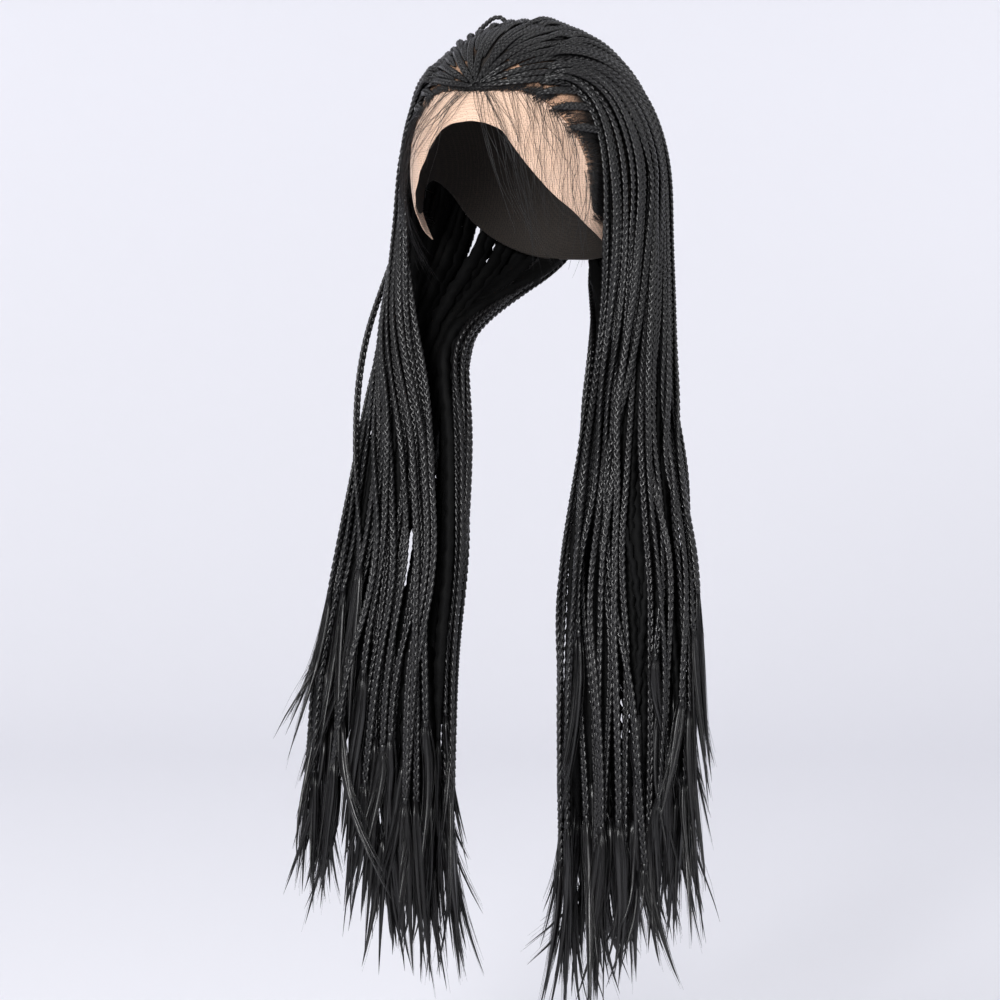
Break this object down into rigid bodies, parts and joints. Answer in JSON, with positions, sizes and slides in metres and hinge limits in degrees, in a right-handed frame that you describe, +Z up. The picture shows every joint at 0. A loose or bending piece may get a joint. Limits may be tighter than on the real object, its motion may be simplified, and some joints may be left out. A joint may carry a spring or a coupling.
{
  "type": "braid wig",
  "caption": "Long black braided wig: net cap with a sheer lace front, flat rows fanned back from the brow, and thin braids drawn forward over both shoulders to loose ends",
  "frame": {"origin": "the crown of the head inside the cap, at the mount head_seat; it is where the wig is carried", "axes": "+Z is up, the wearer faces -Y, and the wearer's left is +X; the longest extent is along Z"},
  "size_m": [0.2979, 0.2279, 0.7069],
  "materials": {
    "hair": "near-black synthetic hair, satin",
    "lace": "sheer skin-toned lace",
    "net": "matt dark net"
  },
  "bodies": {
    "root": {"cap_crown": "net", "cap_front": "net", "cap_temple_left": "net", "cap_temple_right": "net", "cap_ear_left": "net", "cap_ear_right": "net", "cap_nape_left": "net", "cap_nape_right": "net", "lace_front": "lace", "cornrow_left_01": "hair", "cornrow_left_02": "hair", "cornrow_left_03": "hair", "cornrow_left_04": "hair", "cornrow_left_05": "hair", "cornrow_left_06": "hair", "cornrow_left_07": "hair", "cornrow_left_08": "hair", "cornrow_left_09": "hair", "cornrow_left_10": "hair", "cornrow_right_01": "hair", "cornrow_right_02": "hair", "cornrow_right_03": "hair", "cornrow_right_04": "hair", "cornrow_right_05": "hair", "cornrow_right_06": "hair", "cornrow_right_07": "hair", "cornrow_right_08": "hair", "cornrow_right_09": "hair", "cornrow_right_10": "hair", "temple_row_left_upper": "hair", "temple_row_left_middle": "hair", "temple_row_left_lower": "hair", "temple_row_right_upper": "hair", "temple_row_right_middle": "hair", "temple_row_right_lower": "hair", "crown_lock_left_1": "hair", "crown_lock_left_2": "hair", "crown_lock_left_3": "hair", "crown_lock_left_4": "hair", "crown_lock_left_5": "hair", "crown_lock_left_6": "hair", "crown_lock_right_1": "hair", "crown_lock_right_2": "hair", "crown_lock_right_3": "hair", "crown_lock_right_4": "hair", "crown_lock_right_5": "hair", "crown_lock_right_6": "hair", "fall_lock_left_1": "hair", "fall_lock_left_2": "hair", "fall_lock_left_3": "hair", "fall_lock_left_4": "hair", "fall_lock_left_5": "hair", "fall_lock_left_6": "hair", "fall_lock_right_1": "hair", "fall_lock_right_2": "hair", "fall_lock_right_3": "hair", "fall_lock_right_4": "hair", "fall_lock_right_5": "hair", "fall_lock_right_6": "hair"}
  },
  "joints": []
}
